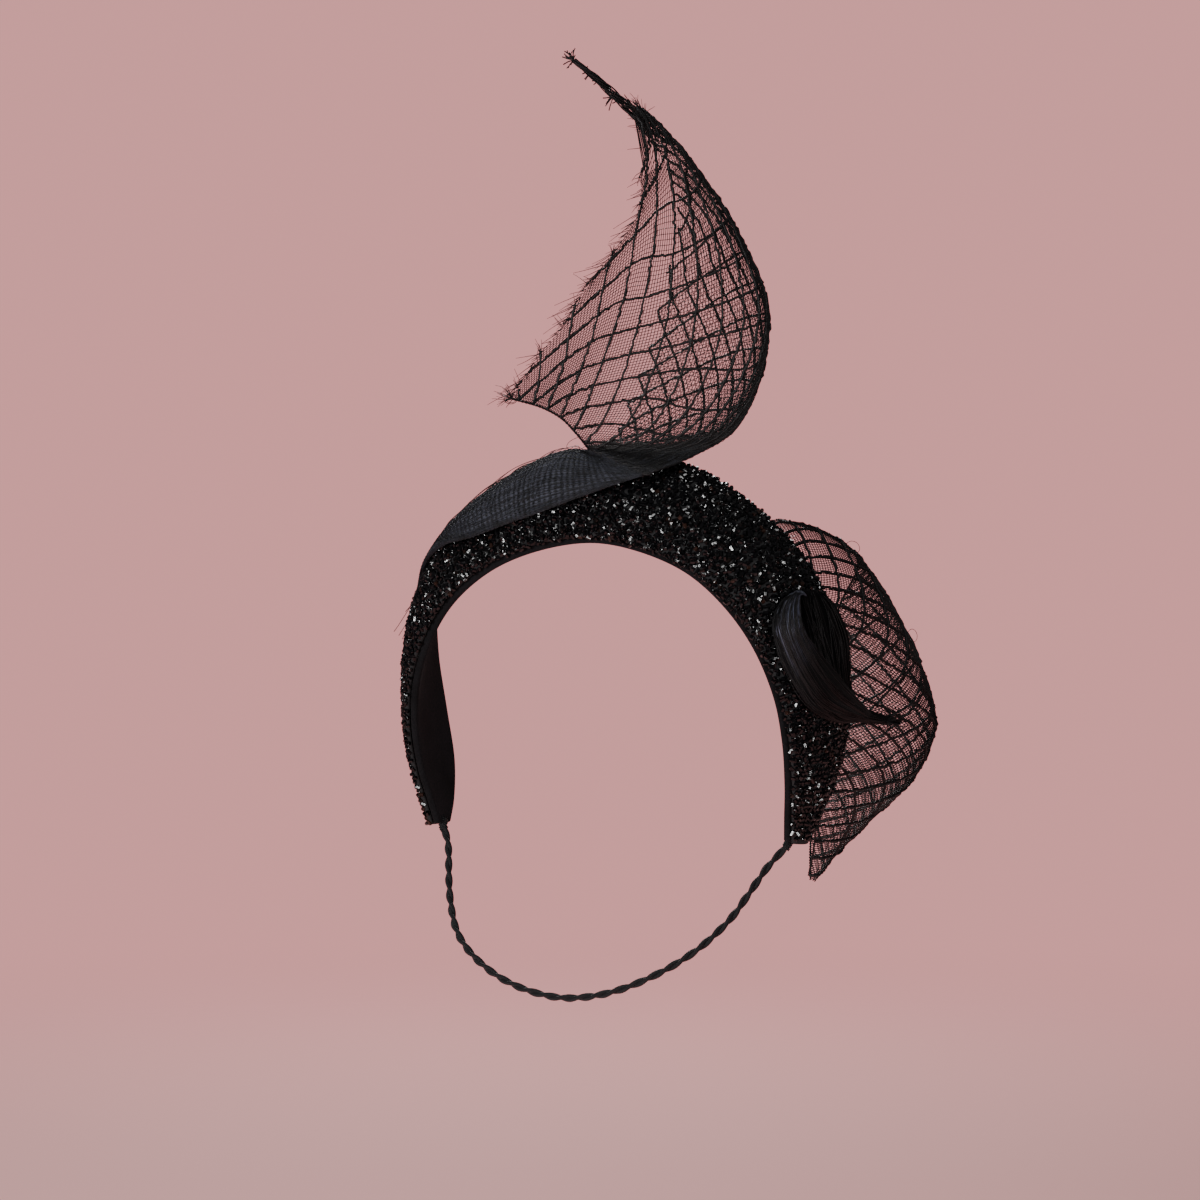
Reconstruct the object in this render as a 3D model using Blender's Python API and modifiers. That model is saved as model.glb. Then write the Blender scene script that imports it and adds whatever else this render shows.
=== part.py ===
"""A beaded halo headband with crinoline trimmings and a chin elastic, as worn.

The wearer faces -Y, their left side is +X, and the origin is the top of the head that wears it,
under the middle of the halo. Every size is in metres. A table's rows are in millimetres.
"""

import math
from collections import namedtuple

import bmesh
import bpy
import numpy as np

MM = 0.001

# The halo: a stiff padded wall with a lining, and the beaded skin that lies over its face.
WALL_THICKNESS = 3.0 * MM
WALL_INSET = 0.8 * MM
SKIN_THICKNESS = 3.2 * MM
GAP = 0.35 * MM
SKIN_BASE = WALL_THICKNESS + GAP
WALL_HOLLOW_SHARE = 0.3  # of the face's bow, how far the lining's middle stands out
SKIN_INSET_SHARE = 0.3  # of the skin's thickness, how far its rounded edges are set in
SKIN_EDGE_SHARE = 0.55  # of the skin's thickness, how high its edges stand
BAND_STEPS_PER_ROW = 3
BAND_FACE_STEPS = 8

# The crinoline: a braided net strip, drawn here as a sheet of even thickness.
NET_THICKNESS = 1.0 * MM
FRONT_SHARE = 0.3
FOLD_SHARE = 0.62
SWIRL_STEPS_PER_ROW = 3
SWIRL_ACROSS = 21
SHELL_STEPS_PER_ROW = 3
SHELL_ACROSS = 19
ROSETTE_STEPS_PER_ROW = 3
ROSETTE_ACROSS = 11

# The chin elastic: a two-ply cord.
ELASTIC_DIAMETER = 3.0 * MM
ELASTIC_POINTS = 61

# The crinoline's tables are in the axes of a viewer who stands this far round to the
# wearer's left: across to the viewer's right, away from the viewer, and up.
VIEWER_TURN = math.radians(28.0)

BandRow = namedtuple("BandRow", "front_x front_y front_z rear_x rear_y rear_z bow")
BAND_ROWS = (  # the halo's inner face from the crown down to its end behind the ear
    BandRow(0.0, -13.0, 0.5, 0.0, 15.0, 33.5, 5.0),
    BandRow(21.0, -14.5, -2.5, 30.0, 14.0, 27.5, 5.0),
    BandRow(41.0, -15.5, -10.0, 54.0, 13.0, 14.5, 5.0),
    BandRow(57.0, -16.5, -22.0, 74.0, 13.0, -3.5, 4.8),
    BandRow(68.5, -15.5, -37.0, 84.0, 16.0, -23.0, 4.4),
    BandRow(76.0, -13.5, -55.0, 87.0, 21.0, -43.5, 4.0),
    BandRow(78.5, -11.0, -72.0, 85.5, 25.0, -66.0, 3.6),
    BandRow(78.0, -7.5, -88.0, 81.0, 23.5, -86.0, 3.0),
    BandRow(76.0, -3.5, -101.0, 77.0, 16.5, -101.0, 2.0),
    BandRow(74.5, -0.5, -110.5, 75.5, 10.5, -111.0, 1.0),
)

RollRow = namedtuple("RollRow", "station low high height")
ROLL_LIFT = 1.1 * MM
ROLL_TURNS = (math.radians(-20), math.radians(180), math.radians(265))
ROLL_ROWS = (  # the folded strip on the halo's face: its station counts the halo's rows from the
    # crown, low and high are shares of the halo's width, and the height is over the beads
    RollRow(-3.9, 0.84, 1.03, 1.6),
    RollRow(-3.3, 0.50, 1.02, 2.2),
    RollRow(-2.7, 0.20, 1.02, 2.3),
    RollRow(-2.1, 0.14, 1.00, 2.6),
    RollRow(-1.3, 0.19, 0.99, 2.8),
    RollRow(-0.6, 0.24, 0.97, 3.2),
)

# A net's row lists places across its strip as (across, away, up). The front place is left out
# where the strip bends evenly.
NetRow = namedtuple("NetRow", "near fold far front", defaults=(None,))
SAIL_ROWS = (  # the strip opens at the crown and turns up into a sail with two tips
    NetRow((-6.9, -1.0, 37.0), (12.5, -16.0, 28.0), (-3.0, 4.0, 38.0)),
    NetRow((-7.3, -1.0, 37.0), (34.5, -0.5, 37.0), (3.8, 20.0, 43.5)),
    NetRow((-7.7, -4.0, 37.5), (49.0, 5.0, 48.5), (8.8, 28.0, 57.3)),
    NetRow((-8.5, -7.0, 38.5), (59.0, 8.0, 71.0), (16.9, 36.0, 78.5)),
    NetRow((-10.0, -10.0, 40.5), (60.5, 8.0, 96.2), (20.4, 40.0, 95.4)),
    NetRow((-12.5, -14.0, 43.5), (50.5, 8.0, 118.0), (27.5, 38.0, 125.0)),
    NetRow((-17.7, -19.0, 48.8), (36.0, 8.0, 136.5), (22.5, 30.0, 147.0)),
    NetRow((-25.4, -25.0, 53.0), (24.0, 5.0, 147.5), (10.0, 20.0, 166.0)),
    NetRow(
        (-35.8, -32.0, 56.0), (12.0, -6.0, 139.5), (-12.7, 8.0, 186.0), (-12.5, -20.0, 93.0)
    ),
)

SHELL_ROWS = (  # the puff behind the wearer's left ear, from the crown side down to its tip
    NetRow((60.4, -17.6, 8.2), (64.5, -11.0, 10.5), (67.0, -7.0, 10.0)),
    NetRow((71.5, -23.3, -4.1), (82.0, 2.0, 5.0), (88.0, 10.0, 2.5)),
    NetRow((79.9, -25.2, -19.6), (102.0, 15.0, -11.5), (98.0, 30.0, -8.0)),
    NetRow((85.5, -23.3, -38.1), (116.0, 26.0, -34.0), (92.0, 52.0, -25.5)),
    NetRow((87.5, -20.0, -56.3), (123.5, 32.0, -57.5), (86.2, 64.0, -48.8)),
    NetRow((87.3, -18.4, -66.3), (124.5, 34.0, -74.0), (83.0, 68.0, -71.2)),
    NetRow((84.9, -16.8, -79.7), (117.0, 32.0, -92.5), (82.0, 62.0, -90.4)),
    NetRow((79.6, -17.3, -95.6), (100.5, 26.0, -109.5), (81.0, 50.0, -107.5)),
    NetRow((79.5, -2.0, -114.0), (88.0, 20.0, -122.0), (79.5, 32.0, -121.2)),
    NetRow((78.0, 12.0, -128.5), (80.5, 15.0, -131.2), (79.0, 19.0, -130.8)),
)

ROSETTE_ROWS = (  # the knot on the halo's left side, from its tail on the puff to its open top
    NetRow((113.0, -4.0, -69.5), (114.5, -6.0, -68.5), (116.0, -2.5, -66.5)),
    NetRow((99.0, -17.0, -66.5), (100.5, -20.0, -63.5), (102.0, -15.5, -60.5)),
    NetRow((85.9, -37.6, -65.4), (90.5, -36.5, -59.5), (95.5, -27.0, -54.5)),
    NetRow((74.1, -49.2, -58.9), (81.0, -50.5, -49.0), (92.5, -31.5, -46.0)),
    NetRow((65.6, -51.6, -43.4), (74.0, -56.5, -36.5), (90.5, -35.0, -33.0)),
    NetRow((61.5, -50.1, -29.2), (69.5, -57.0, -24.5), (85.5, -37.5, -21.5)),
    NetRow((63.8, -47.2, -20.2), (71.0, -51.0, -16.0), (80.5, -38.5, -16.5)),
)

ElasticPoint = namedtuple("ElasticPoint", "x y z")
ELASTIC_HALF_ROUTE = (  # from the halo's end, under the jaw, to the middle of the throat
    ElasticPoint(75.2, 3.2, -111.8),
    ElasticPoint(73.0, 1.6, -114.8),
    ElasticPoint(70.6, -1.0, -118.2),
    ElasticPoint(68.5, -4.0, -122.0),
    ElasticPoint(65.0, -10.0, -130.0),
    ElasticPoint(60.5, -16.5, -139.0),
    ElasticPoint(53.0, -25.0, -148.5),
    ElasticPoint(43.5, -31.0, -156.0),
    ElasticPoint(31.5, -35.0, -162.5),
    ElasticPoint(21.0, -36.5, -166.5),
    ElasticPoint(10.5, -37.0, -169.0),
    ElasticPoint(0.0, -37.0, -170.0),
)


def clear_scene():
    for obj in list(bpy.data.objects):
        bpy.data.objects.remove(obj)


def material(name, colour, roughness, metallic=0.0):
    made = bpy.data.materials.new(name)
    made.use_nodes = True
    shader = made.node_tree.nodes["Principled BSDF"]
    shader.inputs["Base Color"].default_value = (*colour, 1.0)
    shader.inputs["Roughness"].default_value = roughness
    shader.inputs["Metallic"].default_value = metallic
    return made


def smooth_through(points, steps_per_row):
    """Points on a Catmull-Rom curve through the given ones, with so many steps between each two."""
    points = np.array(points, float)
    before = 2 * points[0] - points[1]
    after = 2 * points[-1] - points[-2]
    padded = np.vstack([before, points, after])
    made = []
    for start in range(len(points) - 1):
        p0, p1, p2, p3 = padded[start : start + 4]
        for step in range(steps_per_row):
            t = step / steps_per_row
            made.append(
                0.5
                * (
                    2 * p1
                    + (p2 - p0) * t
                    + (2 * p0 - 5 * p1 + 4 * p2 - p3) * t**2
                    + (3 * p1 - p0 - 3 * p2 + p3) * t**3
                )
            )
    made.append(points[-1])
    return np.array(made)


def mirrored(rows):
    """The half table's rows with the wearer's right half put before them."""
    flip = np.array([-1, 1, 1, -1, 1, 1, 1])
    half = np.array(rows, float)
    return np.vstack([half[:0:-1] * flip, half])


def loft(name, sections, closed=False):
    """A surface through equally long sections, or a closed body where each one is a ring."""
    sections = np.array(sections)
    count, across = sections.shape[:2]
    mesh = bpy.data.meshes.new(name)
    built = bmesh.new()
    rings = [[built.verts.new(point) for point in section] for section in sections]
    for i in range(count - 1):
        for j in range(across if closed else across - 1):
            k = (j + 1) % across
            built.faces.new((rings[i][j], rings[i][k], rings[i + 1][k], rings[i + 1][j]))
    if closed:
        built.faces.new(rings[0][::-1])
        built.faces.new(rings[-1])
        bmesh.ops.recalc_face_normals(built, faces=built.faces)
    built.to_mesh(mesh)
    built.free()
    return bpy.data.objects.new(name, mesh)


def thicken(obj, thickness):
    solid = obj.modifiers.new("thickness", "SOLIDIFY")
    solid.thickness = thickness
    solid.offset = 0.0
    solid.use_even_offset = True
    return obj


def unit(vectors):
    return vectors / np.linalg.norm(vectors, axis=-1, keepdims=True)


def band_frames():
    """For each section of the halo: its front inner edge, width, width axis, outward axis and bow."""
    rows = smooth_through(mirrored(BAND_ROWS), BAND_STEPS_PER_ROW)
    front, rear, bow = rows[:, 0:3] * MM, rows[:, 3:6] * MM, rows[:, 6] * MM
    along = np.gradient((front + rear) / 2, axis=0)
    width_axis = unit(rear - front)
    outward = unit(np.cross(along, width_axis))
    width = np.linalg.norm(rear - front, axis=1)
    return front, width, width_axis, outward, bow


def bowed(share, bow):
    """How far the halo's face stands out at a share of its width: most in the middle."""
    return bow * 4 * share * (1 - share)


def band_rings(profile):
    """Closed rings, one for each section, of the places that profile(width, bow) gives."""
    front, width, width_axis, outward, bow = band_frames()
    return [
        [
            front[i] + width_axis[i] * along + outward[i] * rise
            for along, rise in profile(width[i], bow[i])
        ]
        for i in range(len(front))
    ]


def face_path(low, high, base, bow):
    """Places over the halo's bowed face between two distances from its front edge."""
    shares = [step / BAND_FACE_STEPS for step in range(BAND_FACE_STEPS + 1)]
    return [(low + (high - low) * t, base + bowed(t, bow)) for t in shares]


def wall_profile(width, bow):
    low, high = WALL_INSET, width - WALL_INSET
    inner = [(high, 0.0), ((low + high) / 2, bow * WALL_HOLLOW_SHARE), (low, 0.0)]
    return face_path(low, high, WALL_THICKNESS, bow) + inner


def skin_profile(width, bow):
    inset = SKIN_THICKNESS * SKIN_INSET_SHARE
    edge = SKIN_BASE + SKIN_THICKNESS * SKIN_EDGE_SHARE
    outer = face_path(inset, width - inset, SKIN_BASE + SKIN_THICKNESS, bow)
    inner = face_path(0.0, width, SKIN_BASE, bow)
    return [(0.0, edge)] + outer + [(width, edge)] + inner[::-1]


def over_halo(station, share, height):
    """The place over the beads at a station counted in rows from the crown."""
    front, width, width_axis, outward, bow = band_frames()
    index = (station + len(BAND_ROWS) - 1) * BAND_STEPS_PER_ROW
    low = int(index)
    part = index - low

    def between(values):
        return values[low] * (1 - part) + values[low + 1] * part

    rise = SKIN_BASE + SKIN_THICKNESS + bowed(share, between(bow)) + height
    return (
        between(front)
        + between(width_axis) * between(width) * share
        + between(outward) * rise
    )


def roll_section(row, across_steps):
    """Most of an ellipse on the halo: from its rear over the top, round the low side and under."""
    middle, reach = (row.high + row.low) / 2, (row.high - row.low) / 2
    section = []
    for step in range(across_steps):
        turn = np.interp(step / (across_steps - 1), (0, FOLD_SHARE, 1), ROLL_TURNS)
        share = middle + reach * math.cos(turn)
        height = ROLL_LIFT + row.height * MM * (1 + math.sin(turn)) / 2
        section.append(over_halo(row.station, share, height))
    return section


def from_viewer(across, away, up):
    """A point of the viewer's axes, in the wearer's frame and in metres."""
    turn_cos, turn_sin = math.cos(VIEWER_TURN), math.sin(VIEWER_TURN)
    x = across * turn_cos - away * turn_sin
    y = across * turn_sin + away * turn_cos
    return np.array([x, y, up]) * MM


def net_section(row, across_steps):
    """Points across the strip, on the smooth curve through the row's places."""
    places = [(0.0, row.near), (FOLD_SHARE, row.fold), (1.0, row.far)]
    if row.front:
        places.append((FRONT_SHARE, row.front))
    shares = [share for share, _ in places]
    curve = np.polyfit(shares, [place for _, place in places], len(places) - 1)
    steps = np.linspace(0, 1, across_steps)[:, None]
    powers = steps ** np.arange(len(places) - 1, -1, -1)
    return [from_viewer(*place) for place in powers @ curve]


def net_sheet(name, rows, steps_per_row, across_steps):
    """A sheet through a roll's and a net's sections, in the order of their rows."""
    sections = []
    for row in rows:
        draw = roll_section if isinstance(row, RollRow) else net_section
        sections.append(draw(row, across_steps))
    flat = np.array(sections).reshape(len(rows), -1)
    smooth_rows = smooth_through(flat, steps_per_row)
    return thicken(
        loft(name, smooth_rows.reshape(-1, across_steps, 3)), NET_THICKNESS
    )


def chin_elastic():
    """A round cord along a smooth curve through its route, whose two halves mirror each other."""
    half = [tuple(point) for point in ELASTIC_HALF_ROUTE]
    route = half + [(-x, y, z) for x, y, z in half[-2::-1]]
    fine = smooth_through(route, 8) * MM
    travel = np.concatenate(
        [[0], np.cumsum(np.linalg.norm(np.diff(fine, axis=0), axis=1))]
    )
    even = np.linspace(0, travel[-1], ELASTIC_POINTS)
    points = [np.interp(even, travel, fine[:, axis]) for axis in range(3)]
    curve = bpy.data.curves.new("chin_elastic", "CURVE")
    curve.dimensions = "3D"
    curve.bevel_depth = ELASTIC_DIAMETER / 2
    curve.bevel_resolution = 2
    curve.use_fill_caps = True
    spline = curve.splines.new("POLY")
    spline.points.add(ELASTIC_POINTS - 1)
    for point, place in zip(spline.points, np.transpose(points)):
        point.co = (*place, 1.0)
    return bpy.data.objects.new("chin_elastic", curve)


def main():
    clear_scene()
    fascinator = bpy.data.collections.new("headband fascinator")
    bpy.context.scene.collection.children.link(fascinator)
    lining = material("black velvet lining", (0.012, 0.012, 0.014), 0.9)
    jet = material("jet glass beads", (0.008, 0.008, 0.009), 0.12)
    net = material("black nylon crinoline", (0.02, 0.02, 0.022), 0.45)
    cord = material("black elastic cord", (0.015, 0.015, 0.018), 0.7)
    made = (
        (loft("halo_wall", band_rings(wall_profile), closed=True), lining),
        (loft("bead_skin", band_rings(skin_profile), closed=True), jet),
        (
            net_sheet(
                "swirl", ROLL_ROWS + SAIL_ROWS, SWIRL_STEPS_PER_ROW, SWIRL_ACROSS
            ),
            net,
        ),
        (net_sheet("puff", SHELL_ROWS, SHELL_STEPS_PER_ROW, SHELL_ACROSS), net),
        (
            net_sheet(
                "rosette", ROSETTE_ROWS, ROSETTE_STEPS_PER_ROW, ROSETTE_ACROSS
            ),
            net,
        ),
        (chin_elastic(), cord),
    )
    for obj, finish in made:
        obj.data.materials.append(finish)
        fascinator.objects.link(obj)


main()
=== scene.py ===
# %% [markdown]
# A headband fascinator: a padded halo crusted with cut black beads, a strip of black crinoline
# that is rolled over it and stands up as a curled sail, a crinoline puff and knot beside it,
# and a round elastic that goes under the chin. The wearer faces -Y and their left is +X.

import math
from collections import namedtuple

import bpy
import numpy as np
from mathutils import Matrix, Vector


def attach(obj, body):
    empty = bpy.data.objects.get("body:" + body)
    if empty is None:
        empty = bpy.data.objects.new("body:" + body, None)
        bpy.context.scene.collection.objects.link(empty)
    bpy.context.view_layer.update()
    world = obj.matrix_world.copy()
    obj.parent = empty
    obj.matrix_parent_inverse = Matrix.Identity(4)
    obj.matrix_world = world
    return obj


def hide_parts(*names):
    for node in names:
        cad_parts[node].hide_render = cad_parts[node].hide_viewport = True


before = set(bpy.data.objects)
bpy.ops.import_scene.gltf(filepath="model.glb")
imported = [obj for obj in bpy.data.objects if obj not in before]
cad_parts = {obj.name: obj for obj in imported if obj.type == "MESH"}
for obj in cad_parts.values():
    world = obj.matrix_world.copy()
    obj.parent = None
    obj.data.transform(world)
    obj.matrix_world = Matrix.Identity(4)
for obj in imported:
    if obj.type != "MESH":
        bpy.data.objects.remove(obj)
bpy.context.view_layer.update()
bpy.ops.object.select_all(action="DESELECT")
MM = 0.001
print("CAD solids:", ", ".join(sorted(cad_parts)))

# %% [markdown]
# The photograph was taken from a little to the wearer's left and almost level, with a long lens,
# so that near and far parts keep the same scale. A long lens on a far camera does the same here.

# %% Camera
VIEWER_TURN = math.radians(28.0)
VIEWER_RISE = math.radians(2.5)
CAMERA_DISTANCE = 1.6
CAMERA_TARGET = Vector((-0.0027, -0.0014, -0.021))
CAMERA_LENS = 125.0

camera_way = Vector(
    (
        math.sin(VIEWER_TURN) * math.cos(VIEWER_RISE),
        -math.cos(VIEWER_TURN) * math.cos(VIEWER_RISE),
        math.sin(VIEWER_RISE),
    )
)
bpy.ops.object.camera_add(
    location=CAMERA_TARGET + camera_way * CAMERA_DISTANCE,
    rotation=camera_way.to_track_quat("Z", "Y").to_euler(),
)
camera = bpy.context.object
camera.name = "long_lens_camera"
camera.data.lens = CAMERA_LENS
camera.data.sensor_width = 36.0
bpy.context.scene.camera = camera
print("camera at", [round(value, 3) for value in camera.location])

# %% [markdown]
# Every finish below is a node tree. Colours are written as the eye reads them on a screen, in hex,
# and one function turns them to the linear numbers that a renderer adds up. The other small
# functions add one node each, with its constants and its links, so each finish stays short.

# %% Colours and nodes


def linear(hex_colour):
    """A screen colour such as #a0b0c0 as linear red, green, blue and full alpha."""
    made = []
    for start in (1, 3, 5):
        part = int(hex_colour[start : start + 2], 16) / 255
        made.append(part / 12.92 if part <= 0.04045 else ((part + 0.055) / 1.055) ** 2.4)
    return (*made, 1.0)


def add_node(tree, kind, inputs=None, **settings):
    """A shader node with its settings; an input is given a constant or another node's socket."""
    node = tree.nodes.new("ShaderNode" + kind)
    for name, value in settings.items():
        setattr(node, name, value)
    for name, value in (inputs or {}).items():
        if isinstance(value, bpy.types.NodeSocket):
            tree.links.new(value, node.inputs[name])
        else:
            node.inputs[name].default_value = value
    return node


def new_finish(name, **constants):
    """A material, its node tree and its shader, whose sockets take the given constants."""
    finish = bpy.data.materials.new(name)
    finish.use_nodes = True
    shader = finish.node_tree.nodes["Principled BSDF"]
    for socket, value in constants.items():
        shader.inputs[socket.replace("_", " ")].default_value = value
    return finish, finish.node_tree, shader


def object_place(tree):
    """The place in the piece's own space, in metres."""
    return add_node(tree, "TexCoord").outputs["Object"]


def cloth_place(tree):
    """The place on the flat cloth or along the thread, in mm."""
    return add_node(tree, "UVMap", uv_map="cloth_mm").outputs["UV"]


def noise(tree, place, scale, detail):
    """A cloudy value from 0 to 1."""
    inputs = {"Vector": place, "Scale": scale, "Detail": detail}
    return add_node(tree, "TexNoise", inputs).outputs["Fac"]


def wave(tree, place, scale, direction, **more):
    """Bands from 0 to 1 that follow each other in a direction."""
    inputs = {name.replace("_", " "): value for name, value in more.items()}
    inputs.update({"Vector": place, "Scale": scale})
    return add_node(tree, "TexWave", inputs, bands_direction=direction).outputs["Fac"]


def maths(tree, operation, *values):
    """The result of one sum on numbers and sockets."""
    return add_node(tree, "Math", dict(enumerate(values)), operation=operation).outputs["Value"]


def rescaled(tree, value, source, target=(0.0, 1.0), **settings):
    """A value carried from one range to another."""
    inputs = dict(zip(("From Min", "From Max", "To Min", "To Max"), (*source, *target)))
    return add_node(tree, "MapRange", {"Value": value, **inputs}, **settings).outputs["Result"]


def paint(tree, shader, factor, stops, height=None, strength=0.6, depth=0.0):
    """Colours the shader by a ramp of (place, hex colour) stops, and embosses it by a height."""
    node = add_node(tree, "ValToRGB", {"Fac": factor})
    while len(node.color_ramp.elements) < len(stops):
        node.color_ramp.elements.new(0.5)
    for element, (place, colour) in zip(node.color_ramp.elements, stops):
        element.position = place
        element.color = linear(colour)
    tree.links.new(node.outputs["Color"], shader.inputs["Base Color"])
    if height is not None:
        inputs = {"Height": height, "Strength": strength, "Distance": depth}
        tree.links.new(add_node(tree, "Bump", inputs).outputs["Normal"], shader.inputs["Normal"])


print("white is", [round(value, 3) for value in linear("#ffffff")])

# %% [markdown]
# A product photographer lights black glass with large soft boxes: each facet that faces one
# returns a clean white glint, and the rest stays black. Five boxes stand round the piece, and
# a dim room fills the shadows, so black stays black in front of the pale backdrop. The floor
# is a plain pale disc far below, which fades into the backdrop's colour before its edge, so no
# horizon crosses the picture.

# %% Light and floor
SURROUND_COLOUR = "#e59b9b"
SOFT_BOXES = (  # place round the piece in metres, side of the box, and power in watts
    ((-0.38, -1.15, 0.14), 0.24, 10.0),
    ((0.95, -0.60, 0.10), 0.20, 3.5),
    ((0.22, -1.10, -0.16), 0.22, 4.0),
    ((0.05, -0.30, 1.15), 0.34, 3.0),
    ((-0.55, 0.95, 0.50), 0.45, 8.0),
)
for number, (place, side, watts) in enumerate(SOFT_BOXES):
    aim = (Vector(place) - CAMERA_TARGET).to_track_quat("Z", "Y").to_euler()
    bpy.ops.object.light_add(type="AREA", location=place, rotation=aim)
    light = bpy.context.object
    light.name = f"soft_box_{number}"
    light.data.shape = "SQUARE"
    light.data.size = side
    light.data.energy = watts

world = bpy.data.worlds.new("pale_surround")
bpy.context.scene.world = world
world.use_nodes = True
tree = world.node_tree
backdrop = tree.nodes["Background"]
backdrop.inputs["Color"].default_value = linear(SURROUND_COLOUR)
backdrop.inputs["Strength"].default_value = 1.12
room = add_node(tree, "Background", {"Color": linear("#cfc8ca"), "Strength": 0.15})
seen = add_node(tree, "LightPath")
inputs = {0: seen.outputs["Is Camera Ray"], 1: room.outputs[0], 2: backdrop.outputs[0]}
both = add_node(tree, "MixShader", inputs)
tree.links.new(both.outputs[0], tree.nodes["World Output"].inputs["Surface"])

FLOOR_DROP = -0.30
FLOOR_RADIUS = 2.2
bpy.ops.mesh.primitive_circle_add(
    vertices=96, radius=FLOOR_RADIUS, fill_type="NGON", location=(0, 0, FLOOR_DROP)
)
floor = bpy.context.object
floor.name = "pale_floor"
floor_finish, tree, shader = new_finish("pale_matt_backdrop_paper", Roughness=0.9)
shader.inputs["Base Color"].default_value = linear("#f8b6b3")
reach = add_node(tree, "VectorMath", {0: object_place(tree)}, operation="LENGTH")
fade = rescaled(tree, reach.outputs["Value"], (0.35, 1.2), interpolation_type="SMOOTHSTEP")
clear = add_node(tree, "BsdfTransparent")
mixed = add_node(tree, "MixShader", {0: fade, 1: shader.outputs[0], 2: clear.outputs[0]})
tree.links.new(mixed.outputs["Shader"], tree.nodes["Material Output"].inputs["Surface"])
floor.data.materials.append(floor_finish)
print("floor", FLOOR_DROP, "m, with", len(SOFT_BOXES), "soft boxes")

# %% [markdown]
# Nearly everything on this piece follows a curved surface: beads on the halo, threads on the net.
# So the surfaces are described once, as grids of points between a few listed rows, and small
# helpers give the place and the normal at any row and share of the width.

# %% Curves and sheets


def unit(vectors):
    """Each vector at length one."""
    return vectors / np.maximum(np.linalg.norm(vectors, axis=-1, keepdims=True), 1e-12)


def smooth_through(rows, steps_per_row):
    """Catmull-Rom curves through rows of numbers, with so many steps between each two."""
    rows = np.array(rows, float)
    padded = np.concatenate([[2 * rows[0] - rows[1]], rows, [2 * rows[-1] - rows[-2]]])
    made = []
    for start in range(len(rows) - 1):
        p0, p1, p2, p3 = padded[start : start + 4]
        for step in range(steps_per_row):
            t = step / steps_per_row
            bend = 2 * p0 - 5 * p1 + 4 * p2 - p3
            swing = 3 * p1 - p0 - 3 * p2 + p3
            made.append(0.5 * (2 * p1 + (p2 - p0) * t + bend * t**2 + swing * t**3))
    made.append(rows[-1])
    return np.array(made)


def on_grid(grid, row, across):
    """Values of a grid at row numbers and column numbers that may lie between its own."""
    row = np.clip(row, 0, grid.shape[0] - 1.0001)
    across = np.clip(across, 0, grid.shape[1] - 1.0001)
    i, j = row.astype(int), across.astype(int)
    a, b = (row - i)[..., None], (across - j)[..., None]
    near = grid[i, j] * (1 - b) + grid[i, j + 1] * b
    far = grid[i + 1, j] * (1 - b) + grid[i + 1, j + 1] * b
    return near * (1 - a) + far * a


def grid_normals(grid):
    """The unit normal at each point of a grid."""
    along = np.gradient(grid, axis=0)
    across = np.gradient(grid, axis=1)
    return unit(np.cross(along, across))


def path_length(path):
    """How far it is from the first point along a path to each point."""
    return np.concatenate([[0], np.cumsum(np.linalg.norm(np.diff(path, axis=0), axis=1))])


def evenly(path, step):
    """The same path with points a step apart, and two at least."""
    travel = path_length(path)
    count = max(2, int(round(travel[-1] / step)) + 1)
    wanted = np.linspace(0, travel[-1], count)
    return np.stack([np.interp(wanted, travel, path[:, axis]) for axis in range(3)], axis=1)


def from_viewer(places):
    """Places across, away and up from the viewer, in mm, in the wearer's frame in metres."""
    places = np.array(places, float)
    across, away, up = places[..., 0], places[..., 1], places[..., 2]
    x = across * math.cos(VIEWER_TURN) - away * math.sin(VIEWER_TURN)
    y = across * math.sin(VIEWER_TURN) + away * math.cos(VIEWER_TURN)
    return np.stack([x, y, up], axis=-1) * MM


def lifted(grid, normal, rows, columns, lift):
    """Places on a grid at rows and columns, moved off it along its normals."""
    return on_grid(grid, rows, columns) + on_grid(normal, rows, columns) * lift


def facing(grid, row, column, way):
    """The normals of a grid, turned so that the one at a row and a column looks along a way."""
    normal = grid_normals(grid)
    return -normal if np.dot(normal[row, column], way) < 0 else normal


def wound(line, turn, reach, guide):
    """A path round a line, at an angle and a distance for each of the line's points."""
    along = unit(np.gradient(line, axis=0))
    side = unit(np.cross(along, guide))
    swing = np.cos(turn)[:, None] * side + np.sin(turn)[:, None] * np.cross(side, along)
    return line + swing * np.reshape(reach, (-1, 1))


def twisted(line, pitch, reach, guide, starts=(0.0, math.pi)):
    """Plies wound round a line, each with a full turn in every pitch."""
    turn = path_length(line) / pitch * 2 * math.pi
    return [wound(line, turn + start, reach, guide) for start in starts]


print("a metre of the viewer's across is", from_viewer([1000, 0, 0]).round(3))

# %% [markdown]
# Two kinds of mesh carry all the cloth. A sheet starts as Blender's own grid, whose points are
# laid over the surface, and keeps a UV map in millimetres so that a weave has its real pitch.
# A thread is a thin tube round a path, and hundreds of them are joined in one mesh, because a
# net of separate objects would be slow to draw and to export.

# %% Sheets and threads
MERGE_DISTANCE = 1e-6
CAP_SHARE = 0.05  # how much of a capped thread's radius is left open at its ends


def finish_piece(piece, finish, slot, *replaced):
    """The piece gets its finish, rides on the part and stands for its CAD solids."""
    piece.data.materials.clear()
    piece.data.materials.append(finish)
    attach(piece, "root")
    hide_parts(*replaced)
    piece.data.calc_loop_triangles()
    print(f"{piece.name}: {len(piece.data.loop_triangles)} triangles")
    return piece


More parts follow.
